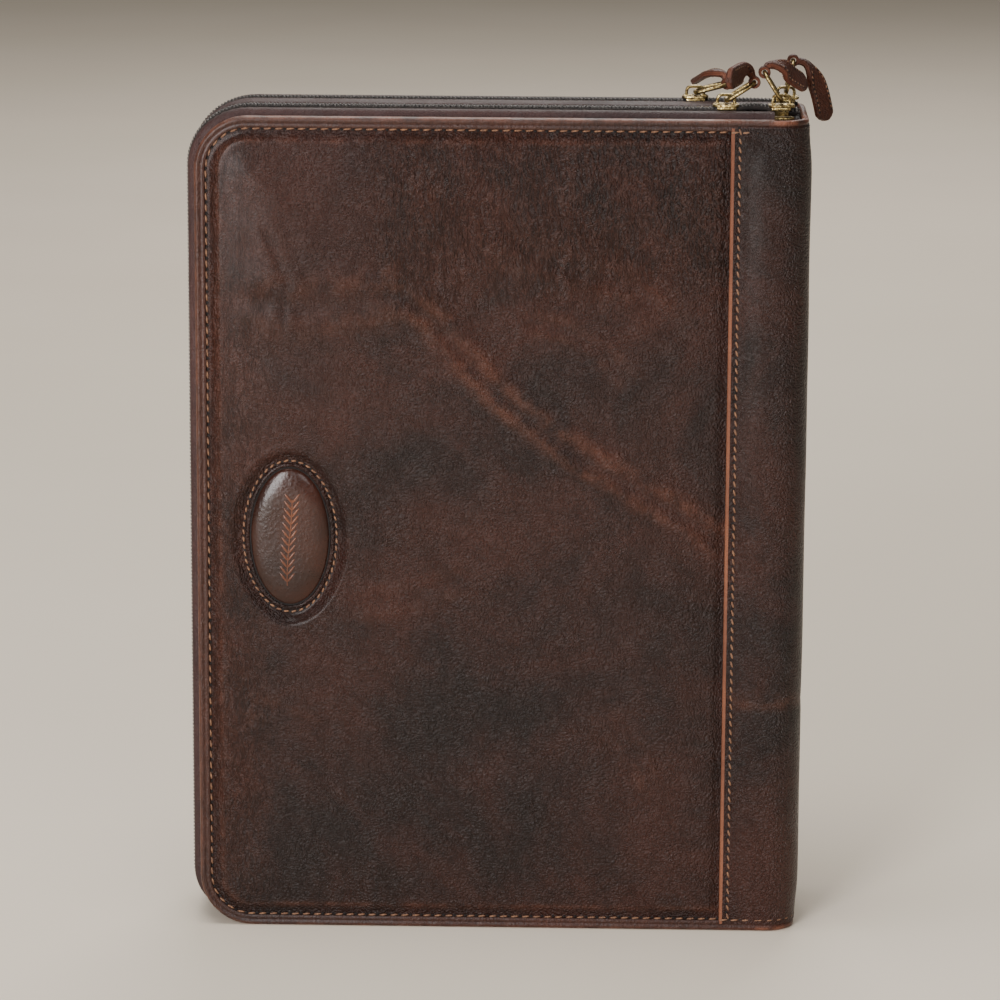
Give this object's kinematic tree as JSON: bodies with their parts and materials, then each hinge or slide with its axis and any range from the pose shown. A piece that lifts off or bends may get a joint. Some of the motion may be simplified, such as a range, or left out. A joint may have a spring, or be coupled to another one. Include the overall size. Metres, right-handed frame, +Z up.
{
  "type": "zip-around bible",
  "caption": "Bible in a zip-around leather case: padded covers on a rounded spine, a zip each side of a centre band, ring pulls, and pages that turn.",
  "frame": {"origin": "middle of the bottom of the whole object's box", "axes": "+Z up as it stands, front cover towards -Y, spine towards +X, zipped edge towards -X"},
  "size_m": [0.2074, 0.061, 0.2851],
  "materials": {
    "cover_leather": "pull-up finish, satin",
    "foam": "matt",
    "greyboard": "matt board",
    "lining": "matt",
    "edge_leather": "turned edge, satin",
    "patch_leather": "polished",
    "zip_coil": "nylon, semi-gloss",
    "zip_tape": "woven, matt",
    "gusset_leather": "matt",
    "bible_cover": "bonded, satin",
    "paper": "thin printed paper, gilt edges",
    "cotton_band": "woven",
    "ribbon": "satin",
    "antique_brass": "antiqued, brushed",
    "pull_leather": "satin, raw edges"
  },
  "bodies": {
    "core": {"front_zip_inner_coil": "zip_coil", "front_zip_inner_tape": "zip_tape", "rear_zip_inner_coil": "zip_coil", "rear_zip_inner_tape": "zip_tape", "centre_band": "gusset_leather", "centre_leaf_board": "greyboard", "centre_leaf_front_lining": "lining", "centre_leaf_rear_lining": "lining", "bible_back_board": "bible_cover", "centre_sleeve": "lining", "page_block": "paper", "bible_spine_cover": "bible_cover", "head_band": "cotton_band", "tail_band": "cotton_band", "ribbon_marker": "ribbon", "spine_leather": "cover_leather", "spine_board": "greyboard", "spine_lining": "lining", "spine_top_binding": "edge_leather", "spine_bottom_binding": "edge_leather", "spine_top_cap": "gusset_leather", "spine_bottom_cap": "gusset_leather"},
    "front_cover": {"front_cover_leather": "cover_leather", "front_cover_foam": "foam", "front_cover_board": "greyboard", "front_cover_lining": "lining", "front_cover_binding": "edge_leather", "front_yoke_leather": "cover_leather", "front_sleeve": "lining", "front_gusset": "gusset_leather", "front_zip_outer_tape": "zip_tape", "front_zip_outer_coil": "zip_coil", "oval_patch": "patch_leather", "oval_patch_pad": "patch_leather", "bible_front_board": "bible_cover"},
    "back_cover": {"back_cover_leather": "cover_leather", "back_cover_foam": "foam", "back_cover_board": "greyboard", "back_cover_lining": "lining", "back_cover_binding": "edge_leather", "back_yoke_leather": "cover_leather", "back_pocket": "lining", "rear_gusset": "gusset_leather", "rear_zip_outer_tape": "zip_tape", "rear_zip_outer_coil": "zip_coil"},
    "front_pages": {"front_page_block": "paper"},
    "flyleaf": {"front_flyleaf": "paper"},
    "front_a_slider": {"front_a_slider": "antique_brass"},
    "front_a_ring": {"front_a_ring": "antique_brass"},
    "front_a_pull": {"front_a_pull": "pull_leather"},
    "front_b_slider": {"front_b_slider": "antique_brass"},
    "front_b_ring": {"front_b_ring": "antique_brass"},
    "front_b_pull": {"front_b_pull": "pull_leather"},
    "rear_a_slider": {"rear_a_slider": "antique_brass"},
    "rear_a_ring": {"rear_a_ring": "antique_brass"},
    "rear_a_pull": {"rear_a_pull": "pull_leather"},
    "rear_b_slider": {"rear_b_slider": "antique_brass"},
    "rear_b_ring": {"rear_b_ring": "antique_brass"},
    "rear_b_pull": {"rear_b_pull": "pull_leather"}
  },
  "joints": [
    {"name": "front_cover_hinge", "type": "hinge", "parent": "core", "child": "front_cover", "pos_m": [0.08353, -0.02511, 0.1335], "axis": [0, 0, 1], "range_deg": [0, 172]},
    {"name": "back_cover_hinge", "type": "hinge", "parent": "core", "child": "back_cover", "pos_m": [0.08353, 0.02489, 0.1335], "axis": [0, 0, -1], "range_deg": [0, 172]},
    {"name": "front_pages_turn", "type": "hinge", "parent": "core", "child": "front_pages", "pos_m": [0.07553, -0.01641, 0.1335], "axis": [0, 0, 1], "range_deg": [0, 105]},
    {"name": "flyleaf_turn", "type": "hinge", "parent": "core", "child": "flyleaf", "pos_m": [0.07553, -0.01641, 0.1335], "axis": [0, 0, 1], "range_deg": [0, 112]},
    {"name": "front_a_slider_run", "type": "slide", "parent": "core", "child": "front_a_slider", "axis": [-1, 0, 0], "range_m": [0, 0.138]},
    {"name": "front_a_ring_swing", "type": "hinge", "parent": "front_a_slider", "child": "front_a_ring", "pos_m": [0.06803, -0.01011, 0.2716], "axis": [0, -1, 0], "range_deg": [-18, 75]},
    {"name": "front_a_pull_swing", "type": "hinge", "parent": "front_a_ring", "child": "front_a_pull", "pos_m": [0.07692, -0.01011, 0.27737], "axis": [0, -1, 0], "range_deg": [-20, 15]},
    {"name": "front_b_slider_run", "type": "slide", "parent": "core", "child": "front_b_slider", "axis": [-1, 0, 0], "range_m": [-0.002, 0.0008]},
    {"name": "front_b_ring_swing", "type": "hinge", "parent": "front_b_slider", "child": "front_b_ring", "pos_m": [0.08568, -0.01011, 0.2716], "axis": [0, -1, 0], "range_deg": [-26, 1]},
    {"name": "front_b_pull_swing", "type": "hinge", "parent": "front_b_ring", "child": "front_b_pull", "pos_m": [0.08007, -0.01011, 0.28059], "axis": [0, -1, 0], "range_deg": [-5, 50]},
    {"name": "rear_a_slider_run", "type": "slide", "parent": "core", "child": "rear_a_slider", "axis": [-1, 0, 0], "range_m": [0, 0.128]},
    {"name": "rear_a_ring_swing", "type": "hinge", "parent": "rear_a_slider", "child": "rear_a_ring", "pos_m": [0.05853, 0.00989, 0.2716], "axis": [0, -1, 0], "range_deg": [-8, 70]},
    {"name": "rear_a_pull_swing", "type": "hinge", "parent": "rear_a_ring", "child": "rear_a_pull", "pos_m": [0.06877, 0.00989, 0.27434], "axis": [0, -1, 0], "range_deg": [-40, 8]},
    {"name": "rear_b_slider_run", "type": "slide", "parent": "core", "child": "rear_b_slider", "axis": [-1, 0, 0], "range_m": [0, 0.01]},
    {"name": "rear_b_ring_swing", "type": "hinge", "parent": "rear_b_slider", "child": "rear_b_ring", "pos_m": [0.08768, 0.00989, 0.2716], "axis": [0, -1, 0], "range_deg": [0, 60]},
    {"name": "rear_b_pull_swing", "type": "hinge", "parent": "rear_b_ring", "child": "rear_b_pull", "pos_m": [0.08989, 0.00989, 0.28197], "axis": [0, -1, 0], "range_deg": [0, 60]}
  ],
  "couplings": [
    {"joint": "front_pages_turn", "follows": "front_cover_hinge", "ratio": 0.61},
    {"joint": "flyleaf_turn", "follows": "front_cover_hinge", "ratio": 0.65},
    {"joint": "rear_b_pull_swing", "follows": "rear_b_slider_run", "rad_per_m": 104.7}
  ]
}
